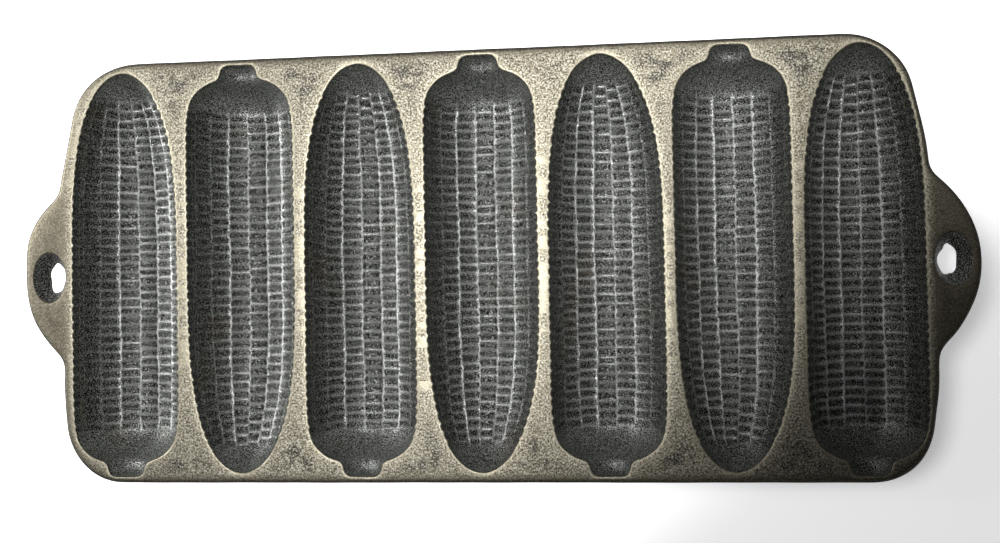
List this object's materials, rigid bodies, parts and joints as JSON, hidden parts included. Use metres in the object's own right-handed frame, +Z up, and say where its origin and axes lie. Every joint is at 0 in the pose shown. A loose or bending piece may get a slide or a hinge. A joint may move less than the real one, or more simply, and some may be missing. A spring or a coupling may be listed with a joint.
{
  "type": "corn stick pan",
  "caption": "Cast iron baking pan with side by side cob shaped cavities, kernel relief inside and a hanging ear at each end.",
  "frame": {"origin": "under the middle of the deck, on the surface that the cups rest on", "axes": "+X from ear to ear, towards the right ear; +Y across the pan; +Z up, out of the cavities"},
  "size_m": [0.3252, 0.1472, 0.0217],
  "materials": {
    "deck_iron": "worn sand cast",
    "cup_iron": "seasoned, satin",
    "ear_iron": "worn sand cast"
  },
  "bodies": {
    "root": {"deck": "deck_iron", "left_ear": "ear_iron", "right_ear": "ear_iron", "cob_cup_1": "cup_iron", "cob_cup_2": "cup_iron", "cob_cup_3": "cup_iron", "cob_cup_4": "cup_iron", "cob_cup_5": "cup_iron", "cob_cup_6": "cup_iron", "cob_cup_7": "cup_iron"}
  },
  "joints": []
}
